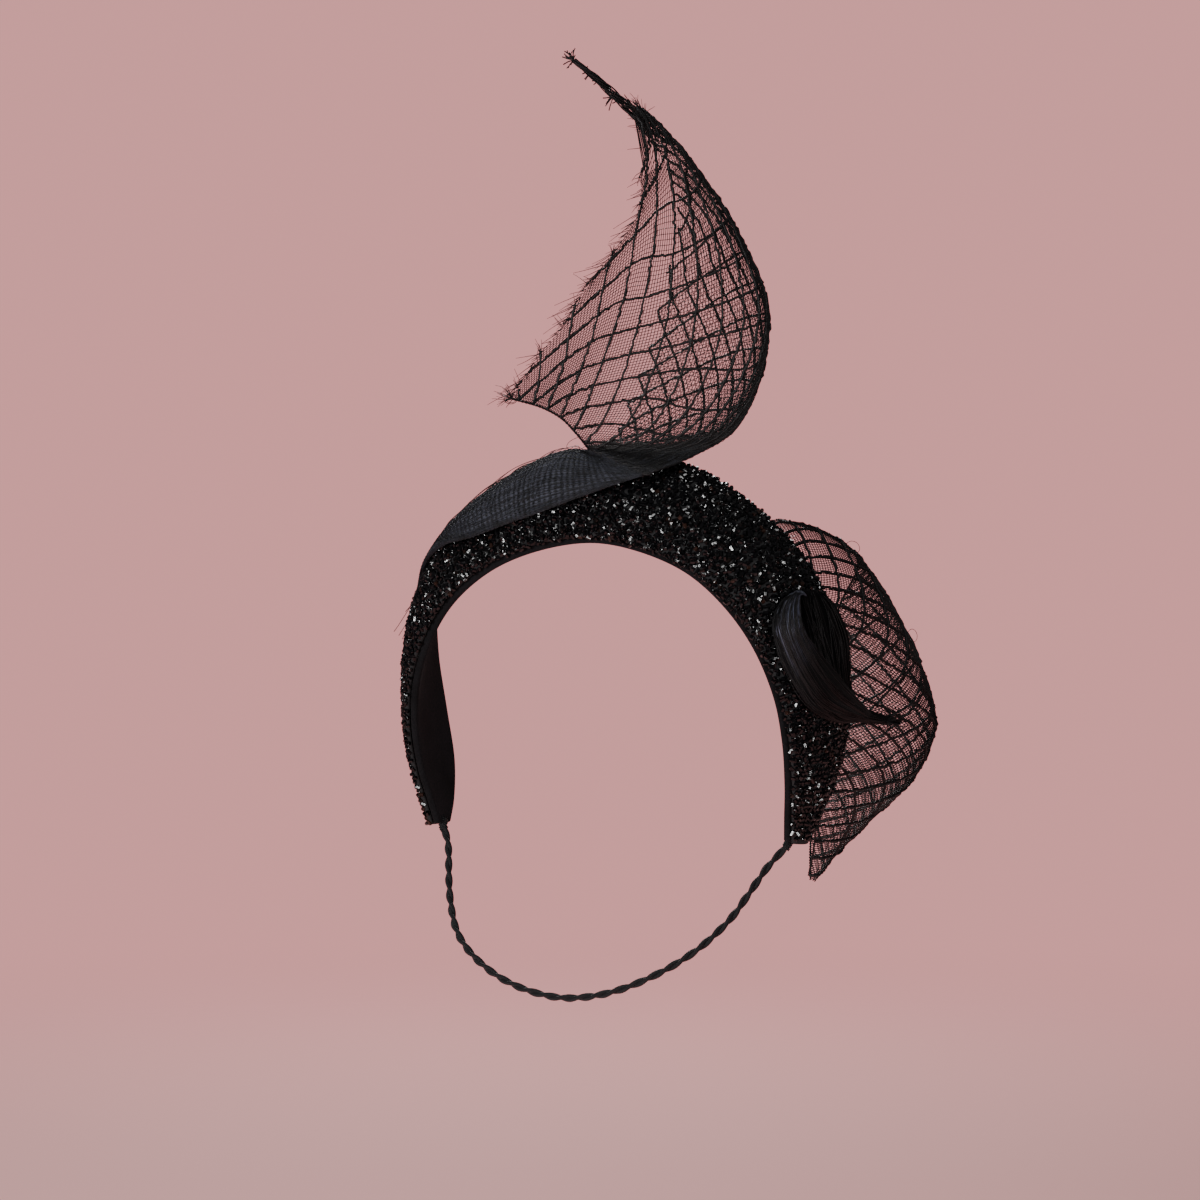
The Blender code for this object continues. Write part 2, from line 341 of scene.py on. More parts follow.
def laid_grid(name, points, closed_across=False):
    """Blender's grid with its points laid over a grid of places; a closed one becomes a tube."""
    rows, across = points.shape[:2]
    bpy.ops.object.select_all(action="DESELECT")
    bpy.ops.mesh.primitive_grid_add(
        x_subdivisions=across - 1, y_subdivisions=rows - 1, size=1.0, calc_uvs=True
    )
    piece = bpy.context.object
    piece.name = name
    piece.data.name = name
    flat = np.empty(len(piece.data.vertices) * 3)
    piece.data.vertices.foreach_get("co", flat)
    flat = flat.reshape(-1, 3)
    j = np.rint((flat[:, 0] + 0.5) * (across - 1)).astype(int)
    i = np.rint((flat[:, 1] + 0.5) * (rows - 1)).astype(int)
    piece.data.vertices.foreach_set("co", points[i, j].ravel())
    lengths = np.linalg.norm(np.diff(points, axis=0), axis=2).mean(axis=1)
    widths = np.linalg.norm(np.diff(points, axis=1), axis=2).mean(axis=0)
    u = np.concatenate([[0], np.cumsum(lengths)])[i] / MM
    v = np.concatenate([[0], np.cumsum(widths)])[j] / MM
    corner = np.empty(len(piece.data.loops), int)
    piece.data.loops.foreach_get("vertex_index", corner)
    layer = piece.data.uv_layers.active
    layer.name = "cloth_mm"
    layer.data.foreach_set("uv", np.stack([u[corner], v[corner]], axis=1).ravel())
    if closed_across:
        bpy.ops.object.mode_set(mode="EDIT")
        bpy.ops.mesh.select_all(action="SELECT")
        bpy.ops.mesh.remove_doubles(threshold=MERGE_DISTANCE)
        bpy.ops.mesh.select_all(action="DESELECT")
        bpy.ops.mesh.select_non_manifold()
        bpy.ops.mesh.edge_face_add()
        bpy.ops.mesh.select_all(action="SELECT")
        bpy.ops.mesh.normals_make_consistent(inside=False)
        bpy.ops.object.mode_set(mode="OBJECT")
    bpy.ops.object.shade_smooth()
    return piece


def cells(grid):
    """The four corners of each cell of a grid, in their order round it."""
    return np.stack([grid[:-1, :-1], grid[1:, :-1], grid[1:, 1:], grid[:-1, 1:]], axis=2)


def quad_piece(name, points, quads, uv=None):
    """A mesh object from an array of points and one of four-sided faces."""
    mesh = bpy.data.meshes.new(name)
    mesh.vertices.add(len(points))
    mesh.vertices.foreach_set("co", np.asarray(points, float).ravel())
    mesh.loops.add(len(quads) * 4)
    mesh.loops.foreach_set("vertex_index", np.asarray(quads).ravel())
    mesh.polygons.add(len(quads))
    mesh.polygons.foreach_set("loop_start", np.arange(len(quads)) * 4)
    mesh.polygons.foreach_set("use_smooth", np.ones(len(quads), bool))
    mesh.update(calc_edges=True)
    mesh.validate()
    if uv is not None:
        layer = mesh.uv_layers.new(name="cloth_mm")
        layer.data.foreach_set("uv", np.asarray(uv, float).ravel())
    piece = bpy.data.objects.new(name, mesh)
    bpy.context.scene.collection.objects.link(piece)
    return piece


def thread_piece(name, paths, radius, finish, *replaced, slot="net", sides=3, capped=False):
    """Thin tubes round many paths, joined, as a finished piece.

    The radius is one number, or a list with one number or one row of numbers for each path.
    """
    points, quads, uvs, count = [], [], [], 0
    turns = np.arange(sides) / sides * 2 * math.pi
    cosine, sine = np.cos(turns)[None, :, None], np.sin(turns)[None, :, None]
    for number, path in enumerate(paths):
        thick = radius[number] if isinstance(radius, list) else radius
        thick = np.broadcast_to(np.asarray(thick, float), (len(path),))
        if capped:
            path = np.concatenate([path[:1], path, path[-1:]])
            thick = np.concatenate([thick[:1] * CAP_SHARE, thick, thick[-1:] * CAP_SHARE])
            tangent = np.gradient(path[1:-1], axis=0)
            tangent = unit(np.concatenate([tangent[:1], tangent, tangent[-1:]]))
        else:
            tangent = unit(np.gradient(path, axis=0))
        leaning = np.eye(3)[np.argmin(np.abs(tangent).max(axis=0))]
        side = unit(np.cross(tangent, leaning))
        spoke = cosine * side[:, None] + sine * np.cross(side, tangent)[:, None]
        points.append((path[:, None] + thick[:, None, None] * spoke).reshape(-1, 3))
        index = count + np.arange(len(path) * sides).reshape(-1, sides)
        quads.append(cells(index[:, [*range(sides), 0]]).reshape(-1, 4))
        place = np.meshgrid(path_length(path) / MM, np.arange(sides + 1) / sides, indexing="ij")
        uvs.append(cells(np.stack(place, axis=-1)).reshape(-1, 2))
        count += len(path) * sides
    piece = quad_piece(name, np.concatenate(points), np.concatenate(quads), np.concatenate(uvs))
    metres = sum(path_length(path)[-1] for path in paths)
    print(f"{name}: {len(paths)} threads, {metres:.2f} m in all")
    return finish_piece(piece, finish, slot, *replaced)


chance = np.random.default_rng(28)
print("helpers ready")

# %% [markdown]
# The elastic is a soft round cord of two plies laid round each other, black, a little fuzzy.
# It leaves one end of the halo, passes under the jaw and goes back into the other end, so its
# whole length shows and nothing is coiled. Each ply is a helix round the route. A single tube
# with a bump would lose the scalloped outline that a two-ply cord has.

# %% Elastic finish
elastic_finish, tree, shader = new_finish(
    "black_braided_rubber_elastic",
    Roughness=0.62,
    Sheen_Weight=0.08,
    Sheen_Roughness=0.4,
    Specular_IOR_Level=0.25,
)
# Braided rayon over rubber looks dull black, with a soft grey bloom where its fibres catch light.
scaled = add_node(tree, "Mapping", {"Vector": cloth_place(tree), "Scale": (1.9, 7.0, 1.0)})
braid = wave(tree, scaled.outputs["Vector"], 1.0, "DIAGONAL", Distortion=1.5, Detail_Scale=2.0)
paint(tree, shader, braid, [(0.2, "#060607"), (0.9, "#17171a")], braid, depth=0.12 * MM)

# %% Elastic
ELASTIC_DIAMETER = 3.0 * MM
ELASTIC_TURN = 15.0 * MM
PLY_REACH, PLY_RADIUS = 0.235 * ELASTIC_DIAMETER, 0.275 * ELASTIC_DIAMETER
SIDEWAYS = (0.0, 1.0, 0.0)
ELASTIC_HALF_ROUTE = (  # mm, from inside the halo's end, under the jaw, to mid throat
    (75.6, 4.6, -108.9),
    (75.2, 3.2, -111.8),
    (73.0, 1.6, -114.8),
    (70.6, -1.0, -118.2),
    (68.5, -4.0, -122.0),
    (65.0, -10.0, -130.0),
    (60.5, -16.5, -139.0),
    (53.0, -25.0, -148.5),
    (43.5, -31.0, -156.0),
    (31.5, -35.0, -162.5),
    (21.0, -36.5, -166.5),
    (10.5, -37.0, -169.0),
    (0.0, -37.0, -170.0),
)
other_half = [(-x, y, z) for x, y, z in ELASTIC_HALF_ROUTE[-2::-1]]
route = evenly(smooth_through(list(ELASTIC_HALF_ROUTE) + other_half, 8) * MM, 1.0 * MM)
plies = twisted(route, ELASTIC_TURN, PLY_REACH, SIDEWAYS)
as_elastic = (elastic_finish, "chin_elastic")
chin_cord = thread_piece(
    "chin_cord", plies, PLY_RADIUS, *as_elastic, slot="elastic", sides=12, capped=True
)

# %% [markdown]
# Where the elastic goes into the halo it is whipped: a sewing thread is wound round it and
# stitched down. The turns are one tight helix at each end, a little thicker than the elastic.

# %% Whipping
WHIP_PITCH, WHIP_REACH, WHIP_RADIUS = 0.62 * MM, 1.62 * MM, 0.3 * MM
whipping = []
for end in (route[:6], route[:-7:-1]):
    whipping += twisted(evenly(end, 0.12 * MM), WHIP_PITCH, WHIP_REACH, SIDEWAYS, starts=(0.0,))
thread_piece("elastic_whipping", whipping, WHIP_RADIUS, *as_elastic, slot="elastic", sides=5)

# %% [markdown]
# The halo is a strip of padded buckram that stands up from the head and narrows to its ends
# behind the ears. Its rows hold the front and rear inner edges and how far its face is bowed.
# Everything on it is measured from these rows, so they come first.

# %% Halo rows
BandRow = namedtuple("BandRow", "front_x front_y front_z rear_x rear_y rear_z bow")
BAND_ROWS = (  # mm, from the crown down to the end behind the ear
    BandRow(0.0, -13.0, 0.5, 0.0, 15.0, 33.5, 5.0),
    BandRow(21.0, -14.5, -2.5, 30.0, 14.0, 27.5, 5.0),
    BandRow(41.0, -15.5, -10.0, 54.0, 13.0, 14.5, 5.0),
    BandRow(57.0, -16.5, -22.0, 74.0, 13.0, -3.5, 4.8),
    BandRow(68.5, -15.5, -37.0, 84.0, 16.0, -23.0, 4.4),
    BandRow(76.0, -13.5, -55.0, 87.0, 21.0, -43.5, 4.0),
    BandRow(78.5, -11.0, -72.0, 85.5, 25.0, -66.0, 3.6),
    BandRow(78.0, -7.5, -88.0, 81.0, 23.5, -86.0, 3.0),
    BandRow(76.0, -3.5, -101.0, 77.0, 16.5, -101.0, 2.0),
    BandRow(74.5, -0.5, -110.5, 75.5, 10.5, -111.0, 1.0),
)
BAND_STEPS = 10
WALL_THICKNESS = 3.0 * MM
SKIN_THICKNESS = 3.2 * MM
SKIN_BASE = WALL_THICKNESS + 0.35 * MM


def band_frames(steps):
    """For each section: its front edge, width, width axis, outward axis and bow."""
    half = np.array(BAND_ROWS, float)
    flip = np.array([-1, 1, 1, -1, 1, 1, 1])
    rows = smooth_through(np.vstack([half[:0:-1] * flip, half]), steps)
    front, rear, bow = rows[:, 0:3] * MM, rows[:, 3:6] * MM, rows[:, 6] * MM
    along = np.gradient((front + rear) / 2, axis=0)
    width_axis = unit(rear - front)
    outward = unit(np.cross(along, width_axis))
    width = np.linalg.norm(rear - front, axis=1)
    return front, width, width_axis, outward, bow


def band_surface(profile, steps=BAND_STEPS):
    """A grid of places that profile(width, bow) gives as (along the width, height) pairs."""
    front, width, width_axis, outward, bow = band_frames(steps)
    rows = []
    for i in range(len(front)):
        pairs = np.array(profile(width[i], bow[i]))
        rows.append(front[i] + pairs[:, :1] * width_axis[i] + pairs[:, 1:] * outward[i])
    return np.array(rows)


def bowed(share, bow):
    """How far the face stands out at a share of the width: most in the middle."""
    return bow * 4 * share * (1 - share)


def rolled_strip(width, bow, low_height, high_height, inset, hollow, steps=14):
    """A closed ring round a bowed strip between two heights, with full round edges."""
    middle, radius = (low_height + high_height) / 2, (high_height - low_height) / 2
    low, high = inset + radius, width - inset - radius
    share = np.linspace(0, 1, steps)
    top = [(low + (high - low) * t, high_height + bowed(t, bow)) for t in share]
    arc = np.linspace(0, math.pi, 7)[1:-1]
    rear = [(high + radius * math.sin(t), middle + radius * math.cos(t)) for t in arc]
    under = [(low + (high - low) * t, low_height + bowed(t, bow) * hollow) for t in share[::-1]]
    fore = [(low - radius * math.sin(t), middle - radius * math.cos(t)) for t in arc]
    return top + rear + under + fore


def band_piece(name, *measures):
    """A closed strip along the halo with the two heights, inset and hollow of a rolled strip."""
    ring = band_surface(lambda width, bow: rolled_strip(width, bow, *measures))
    return laid_grid(name, np.concatenate([ring, ring[:, :1]], axis=1), closed_across=True)


halo_front, halo_width, _, _, _ = band_frames(BAND_STEPS)
print(f"halo {path_length(halo_front)[-1] / MM:.0f} mm along its front edge")
print(f"and {halo_width.max() / MM:.0f} mm wide at the crown")

# %% [markdown]
# The lining is black velvet over the padding. It is turned over the front edge, where a narrow
# rolled strip of it shows below the first beads. One ring of points, carried along the halo from
# end to end and closed, gives the turned edges, which a flat band with a bevel wouldn't.

# %% Lining finish
velvet_finish, tree, shader = new_finish(
    "black_cotton_velvet",
    Roughness=0.95,
    Sheen_Weight=0.14,
    Sheen_Roughness=0.45,
    Sheen_Tint=linear("#6f6b70"),
    Specular_IOR_Level=0.2,
)
# Velvet drinks light straight on and turns a dusty grey at its rim, where the pile is seen
# from the side. The pile is drawn at 0.7 mm, which is coarser than it is.
place = object_place(tree)
pile = noise(tree, place, 1400.0, 3.0)
brushed = maths(tree, "MULTIPLY", pile, noise(tree, place, 90.0, 2.0))
paint(tree, shader, brushed, [(0.12, "#040405"), (0.42, "#131215")], pile, 0.7, 0.3 * MM)

# %% Lining
lining = band_piece("halo_lining", 0.0, WALL_THICKNESS, 0.0, 0.3)
smoother = lining.modifiers.new("rounder", "SUBSURF")
smoother.levels = 1
smoother.render_levels = 1
bpy.ops.object.modifier_apply(modifier=smoother.name)
finish_piece(lining, velvet_finish, "lining", "halo_wall")

# %% [markdown]
# The beads are sewn to a black ground cloth that covers the padding. Between beads it shows
# only as darkness, so it lies a little below them and has a plain close weave.

# %% Ground cloth
ground_finish, tree, shader = new_finish("black_cotton_ground_cloth", Roughness=0.85)
# Plain weave at 1 mm, coarser than it is: the crossing threads are only just told apart.
place = cloth_place(tree)
crossed = maths(tree, "MAXIMUM", wave(tree, place, 0.32, "X"), wave(tree, place, 0.32, "Y"))
paint(tree, shader, crossed, [(0.3, "#050506"), (1.0, "#141315")], crossed, depth=0.1 * MM)

BEAD_SINK = 1.0 * MM
ground_top = SKIN_BASE + SKIN_THICKNESS - BEAD_SINK
bead_ground = band_piece("bead_ground", SKIN_BASE, ground_top, 0.4 * MM, 1.0)
finish_piece(bead_ground, ground_finish, "lining", "bead_skin")

# %% [markdown]
# The beads are short lengths cut from drawn glass tube, six-sided, about 2 mm long and 1.6 mm
# thick, with a thread hole. They are sewn on close together and point every way, so each one
# shows a different facet. One bead is modelled: a six-sided cylinder has its rims bevelled, its
# ends inset and the two insets bridged into a hole. It keeps flat facets, because a smooth bead
# would give one long highlight where the cut glass gives small hard glints.

# %% One cut bead
BEAD_LENGTH = 2.0 * MM
BEAD_RADIUS = 0.82 * MM
RIM_BEVEL, HOLE_RIM = 0.22 * MM, 0.26 * MM

bpy.ops.object.select_all(action="DESELECT")
bpy.ops.mesh.primitive_cylinder_add(
    vertices=6, radius=BEAD_RADIUS, depth=BEAD_LENGTH, end_fill_type="NGON"
)
one_bead = bpy.context.object
bpy.ops.object.mode_set(mode="EDIT")
bpy.ops.mesh.select_mode(type="EDGE")
bpy.ops.mesh.select_all(action="DESELECT")
bpy.ops.object.mode_set(mode="OBJECT")
for edge in one_bead.data.edges:
    ends = [one_bead.data.vertices[index].co.z for index in edge.vertices]
    edge.select = abs(ends[0] - ends[1]) < MERGE_DISTANCE
bpy.ops.object.mode_set(mode="EDIT")
bpy.ops.mesh.bevel(offset=RIM_BEVEL, segments=1, affect="EDGES")
bpy.ops.mesh.select_mode(type="FACE")
bpy.ops.mesh.select_all(action="DESELECT")
bpy.ops.object.mode_set(mode="OBJECT")
for face in one_bead.data.polygons:
    face.select = abs(face.normal.z) > 0.99
bpy.ops.object.mode_set(mode="EDIT")
bpy.ops.mesh.inset(thickness=HOLE_RIM)
bpy.ops.mesh.bridge_edge_loops()
bpy.ops.mesh.select_all(action="SELECT")
bpy.ops.mesh.normals_make_consistent(inside=False)
bpy.ops.object.mode_set(mode="OBJECT")
one_bead.data.calc_loop_triangles()
bead_points = np.array([vertex.co for vertex in one_bead.data.vertices])
bead_faces = [tuple(face.vertices) for face in one_bead.data.polygons]
print("one bead:", len(bead_faces), "faces,", len(one_bead.data.loop_triangles), "triangles")
bpy.data.objects.remove(one_bead)

# %% Bead finish
# Near blacks for most beads; the brown stops are a painted reflection on a few of them.
BEAD_BLACKS_AND_PAINTED_REFLECTION = [(0.0, "#030304"), (0.93, "#08080a"), (0.97, "#140e0c"), (1.0, "#2c1b15")]
jet_finish, tree, shader = new_finish("black_cut_glass_bead", IOR=1.56, Specular_IOR_Level=0.36)
# Cut glass is opaque black with a hard polish: the eye reads only its white glints. A random
# number on each bead varies its black a little, and on a few beads it paints a brown reflection
# of the warm surround, which shows where light falls on them.
tone_and_painted_reflection = add_node(tree, "Attribute", attribute_name="tone_and_painted_reflection").outputs["Fac"]
smear = noise(tree, object_place(tree), 1100.0, 2.0)
polish = rescaled(tree, smear, (0.0, 1.0), (0.02, 0.09))
tree.links.new(polish, shader.inputs["Roughness"])
paint(tree, shader, tone_and_painted_reflection, BEAD_BLACKS_AND_PAINTED_REFLECTION, smear, 0.5, 0.2 * MM)

# %% [markdown]
# The places are a brick pattern over the face and round its two edges, each pushed a little out
# of line, as hand sewing leaves them. Each copy is turned to its own direction, tipped and set
# at its own height, which gives the rough outline. The copies are joined in three meshes.

# %% Sew the beads on
BEAD_PITCH_ALONG, BEAD_PITCH_ACROSS = 1.95 * MM, 1.72 * MM
BEAD_EDGE_RADIUS, BEAD_MARGIN = 1.5 * MM, 0.3 * MM
BEAD_DEPTH = 0.75 * MM  # from the skin's face down to a bead's middle
END_MARGIN = 0.8 * MM
RIGHT_SHARE, CROWN_SHARE = 0.36, 0.66


def bead_line(width, bow):
    """The line across the halo that the beads' middles follow, from edge to edge."""
    top = SKIN_BASE + SKIN_THICKNESS - BEAD_DEPTH
    low = BEAD_EDGE_RADIUS + BEAD_MARGIN
    fore = []
    for turn in np.radians(np.linspace(-100, 0, 6)[:-1]):
        height = top - BEAD_EDGE_RADIUS * (1 - math.cos(turn))
        fore.append((low + BEAD_EDGE_RADIUS * math.sin(turn), height))
    rear = [(width - along, height) for along, height in fore[::-1]]
    share = np.linspace(0, 1, 16)
    face = [(low + (width - 2 * low) * t, top + bowed(t, bow)) for t in share]
    return fore + face + rear


face_grid = band_surface(bead_line)
face_normal = facing(face_grid, len(face_grid) // 2, 12, (0.0, 0.0, 1.0))
run = path_length(face_grid.mean(axis=1))
bead_places = []
for number, distance in enumerate(np.arange(END_MARGIN, run[-1] - END_MARGIN, BEAD_PITCH_ALONG)):
    row = np.interp(distance, run, np.arange(len(run)))
    whole = int(min(row, len(run) - 2))
    section = face_grid[whole] * (1 - row + whole) + face_grid[whole + 1] * (row - whole)
    breadth = path_length(section)
    count = int(breadth[-1] / BEAD_PITCH_ACROSS)
    step = (np.arange(count) + 0.25 + 0.5 * (number % 2)) / count * breadth[-1]
    step = step + chance.uniform(-0.4, 0.4, count) * MM
    column = np.interp(step, breadth, np.arange(len(section)))
    rows = row + chance.uniform(-0.25, 0.25, count) * BEAD_PITCH_ALONG / (run[-1] / len(run))
    bead_places.append(np.stack([rows, column], axis=1))
bead_places = np.concatenate(bead_places)
middles = on_grid(face_grid, *bead_places.T)
normals = unit(on_grid(face_normal, *bead_places.T))
bead_count = len(middles)
leaning = unit(np.cross(normals, chance.normal(size=(bead_count, 3))))
tip = np.radians(chance.normal(0.0, 24.0, bead_count))[:, None]
axis_z = unit(leaning * np.cos(tip) + normals * np.sin(tip))
axis_x = unit(np.cross(axis_z, chance.normal(size=(bead_count, 3))))
thick = chance.uniform(0.88, 1.1, (bead_count, 1))
long = chance.uniform(0.72, 1.2, (bead_count, 1))
axes = np.stack([axis_x * thick, np.cross(axis_z, axis_x) * thick, axis_z * long], axis=1)
middles = middles + normals * chance.uniform(-0.35, 0.4, (bead_count, 1)) * MM
print(bead_count, "beads")


def beads_piece(name, first_share, last_share):
    """Copies of the one bead from share to share of the halo, in one mesh, each with a random number
    for its black or its painted brown reflection.
    """
    share = bead_places[:, 0] / (len(run) - 1)
    chosen = np.flatnonzero((share >= first_share) & (share < last_share))
    turned = bead_points @ axes[chosen] + middles[chosen][:, None]
    steps = (np.arange(len(chosen)) * len(bead_points))[:, None, None]
    quads = (np.array(bead_faces)[None] + steps).reshape(-1, 4)
    piece = quad_piece(name, turned.reshape(-1, 3), quads)
    piece.data.polygons.foreach_set("use_smooth", np.zeros(len(quads), bool))
    # Each bead's random number gives its black, and on a few beads a painted brown reflection.
    tone_and_painted_reflection = piece.data.attributes.new("tone_and_painted_reflection", "FLOAT", "POINT")
    each = chance.random(len(chosen))
    tone_and_painted_reflection.data.foreach_set("value", np.repeat(each, len(bead_points)))
    return finish_piece(piece, jet_finish, "beads", "bead_skin")


beads_piece("beads_right", -1.0, RIGHT_SHARE)
beads_piece("beads_crown", RIGHT_SHARE, CROWN_SHARE)
beads_piece("beads_left", CROWN_SHARE, 2.0)

# %% [markdown]
# Crinoline is a tubular-braided nylon strip, here 150 mm wide. Fine threads cross at a slant
# about every millimetre, and heavy ones make a trellis of diamonds over them. A thread of either
# kind keeps its own count, so the pattern is drawn in counts: n up the strip and m across it.
# A rising thread keeps n + m/2, and a falling one n - m/2. The rows below place the strip and the
# counts on its near edge, its front, its fold and its far edge.

# %% The crinoline's rows
RollRow = namedtuple("RollRow", "station low high height")
ROLL_ROWS = (  # the strip folded flat on the beads: the station counts the halo's rows
    RollRow(-3.9, 0.93, 1.02, 0.8),
    RollRow(-3.3, 0.80, 1.02, 1.0),
    RollRow(-2.7, 0.52, 1.01, 1.3),
    RollRow(-2.1, 0.28, 0.99, 1.7),
    RollRow(-1.3, 0.21, 0.98, 2.3),
    RollRow(-0.6, 0.24, 0.97, 3.0),
)
ROLL_LIFT = 1.1 * MM
ROLL_TURNS = (math.radians(-20), math.radians(180), math.radians(265))
FRONT_SHARE, FOLD_SHARE = 0.3, 0.62
SHEET_STEPS, SHEET_ACROSS = 10, 81
LAST_COLUMN = SHEET_ACROSS - 1
HALO_STEPS = 3
halo_frames = band_frames(HALO_STEPS)

EVEN_STEPS = (0, 7.0, 11.75, 21)  # counts m from the near edge, at the same four shares
NetRow = namedtuple("NetRow", "near fold far front counts steps", defaults=(None, None, EVEN_STEPS))
SAIL_ROWS = (  # mm across, away and up from the viewer, then counts n at four shares
    NetRow((-6.9, -1, 37), (12.5, -16, 28), (-3, 4, 38), None, (2.5, 0.2, -3.8, -4.5)),
    NetRow((-7.3, -1, 37), (34.5, -0.5, 37), (3.8, 20, 43.5), None, (3.5, 1.3, -1.6, -3.6)),
    NetRow((-7.7, -4, 37.5), (49, 5, 48.5), (8.8, 28, 57.3), None, (4.2, 2.6, -0.1, -2.2)),
    NetRow((-8.5, -7, 38.5), (59, 8, 71), (16.9, 36, 78.5), None, (4.8, 3.9, 1.8, -0.3)),
    NetRow((-10, -10, 40.5), (60.5, 8, 96.2), (20.4, 40, 95.4), None, (5.3, 5.1, 3.7, 0.8)),
    NetRow((-12.5, -14, 43.5), (50.5, 8, 118), (27.5, 38, 125), None, (5.85, 6.5, 5.6, 2.7)),
    NetRow(
        (-17.7, -19, 48.8),
        (36, 8, 136.5),
        (22.5, 30, 147),
        None,
        (6.9, 7.95, 7.3, 4.7),
        (0, 7, 11.2, 17),
    ),
    NetRow(
        (-25.4, -25, 53),
        (24, 5, 147.5),
        (10, 20, 166),
        None,
        (8.4, 9.0, 8.7, 7.0),
        (0, 6.2, 10.0, 13.5),
    ),
    NetRow(
        (-35.8, -32, 56),
        (12, -6, 139.5),
        (-12.7, 8, 186),
        (-12.5, -20, 93),
        (10.4, 10.4, 10.8, 10.5),
        (0, 4.6, 8.2, 11),
    ),
)


def over_halo(station, share, height):
    """The place over the beads at a station counted in rows from the crown."""
    index = (station + len(BAND_ROWS) - 1) * HALO_STEPS
    low = int(index)
    part = index - low
    front, width, width_axis, outward, bow = (
        values[low] * (1 - part) + values[low + 1] * part for values in halo_frames
    )
    rise = SKIN_BASE + SKIN_THICKNESS + bowed(share, bow) + height
    return front + width_axis * width * share + outward * rise


def roll_section(row):
    """Most of an ellipse on the halo: from its rear over the top, round the low side and under."""
    middle, reach = (row.high + row.low) / 2, (row.high - row.low) / 2
    section = []
    for step in np.linspace(0, 1, SHEET_ACROSS):
        turn = np.interp(step, (0, FOLD_SHARE, 1), ROLL_TURNS)
        height = ROLL_LIFT + row.height * MM * (1 + math.sin(turn)) / 2
        section.append(over_halo(row.station, middle + reach * math.cos(turn), height))
    return np.array(section)


def net_section(row):
    """Points across the strip, on the smooth curve through the row's places."""
    places = [(0.0, row.near), (FOLD_SHARE, row.fold), (1.0, row.far)]
    if row.front:
        places.append((FRONT_SHARE, row.front))
    shares = [share for share, _ in places]
    curve = np.polyfit(shares, [place for _, place in places], len(places) - 1)
    powers = np.linspace(0, 1, SHEET_ACROSS)[:, None] ** np.arange(len(places) - 1, -1, -1)
    return from_viewer(powers @ curve)


def net_grid(rows):
    """A fine grid of points through the sections of a strip's rows."""
    sections = [roll_section(r) if isinstance(r, RollRow) else net_section(r) for r in rows]
    return smooth_through(sections, SHEET_STEPS)


ROLL_END = 63  # the grid row where the gathered layers part
strip_grid = net_grid(ROLL_ROWS + SAIL_ROWS)
roll_grid = strip_grid[: ROLL_END + 1]
sail_grid = strip_grid[len(ROLL_ROWS) * SHEET_STEPS :]
print(f"the sail is {path_length(sail_grid[:, 35])[-1] / MM:.0f} mm long near its fold")

# %% Counting threads over a strip


def count_grid(rows, kind):
    """The count n or m at each grid point, from each row's given counts at four shares."""
    shares = (0.0, FRONT_SHARE, FOLD_SHARE, 1.0)
    across = np.linspace(0, 1, SHEET_ACROSS)
    sections = [np.polyval(np.polyfit(shares, getattr(row, kind), 3), across) for row in rows]
    return smooth_through(sections, SHEET_STEPS)


def thread_lines(rows, spacing, edge_rows=None, toothed=False):
    """The lines of all threads of both slants that are a spacing of counts apart.

    edge_rows gives the last row at shares of the width, where the strip is cut. With toothed,
    fine threads stop at the zigzag that the heavy ones make along the far side, and only every
    second one goes on past the fold, because two full layers would close up in the picture.
    """
    columns = np.linspace(0, LAST_COLUMN, 5 * LAST_COLUMN + 1)
    row_numbers = np.arange((len(rows) - 1) * SHEET_STEPS + 1, dtype=float)
    places = np.meshgrid(row_numbers, columns, indexing="ij")
    n = on_grid(count_grid(rows, "counts")[..., None], *places)[..., 0]
    m = on_grid(count_grid(rows, "steps")[..., None], *places)[..., 0]
    limit = np.full(len(columns), row_numbers[-1])
    if edge_rows:
        limit = np.interp(columns / LAST_COLUMN, *edge_rows) * SHEET_STEPS
    made = []
    for slant in (-0.5, 0.5):
        kept = n + slant * m
        first, last = math.ceil(kept.min() / spacing), math.floor(kept.max() / spacing)
        for number in range(first, last + 1):
            wanted = number * spacing
            found = [np.interp(wanted, line, row_numbers, left=-1, right=-1) for line in kept.T]
            found = np.array(found)
            inside = (found >= 0) & (found <= limit)
            if toothed:
                step = np.array([np.interp(row, row_numbers, line) for row, line in zip(found, m.T)])
                count = wanted - slant * step
                tooth = 2 * np.abs(count - np.floor(count) - 0.5)
                inside &= step <= np.interp(found, row_numbers, m[:, -1]) - tooth
                if number % 2:
                    inside &= columns < FOLD_SHARE * LAST_COLUMN
            cuts = np.flatnonzero(np.diff(inside.astype(int))) + 1
            for part in np.split(np.arange(len(columns)), cuts):
                if inside[part[0]] and len(part) > 2:
                    made.append((found[part], columns[part], slant))
    return made


sail_counts = count_grid(SAIL_ROWS, "counts")
print("the sail has", round(float(np.ptp(sail_counts)), 1), "diamonds from end to end")

# %% [markdown]
# The nylon has three looks. A fine thread is matt grey-black and so thin that it only tints what
# is behind it. A heavy thread is a spun bundle, thicker and a little kinked. Where the strip is
# gathered and many layers lie together, it shines like a dark satin.

# %% Crinoline finishes
WAVE_PITCH = 0.314  # how far apart the bands of a wave texture are at a scale of one
NYLON_IOR = 1.53

# A drawn nylon thread: smooth and thin, with a faint brown cast.
fine_finish, tree, shader = new_finish(
    "black_nylon_fine_thread", Roughness=0.5, IOR=NYLON_IOR, Specular_IOR_Level=0.3
)
mottle = noise(tree, object_place(tree), 160.0, 2.0)
paint(tree, shader, mottle, [(0.3, "#0b0909"), (0.7, "#151112")])

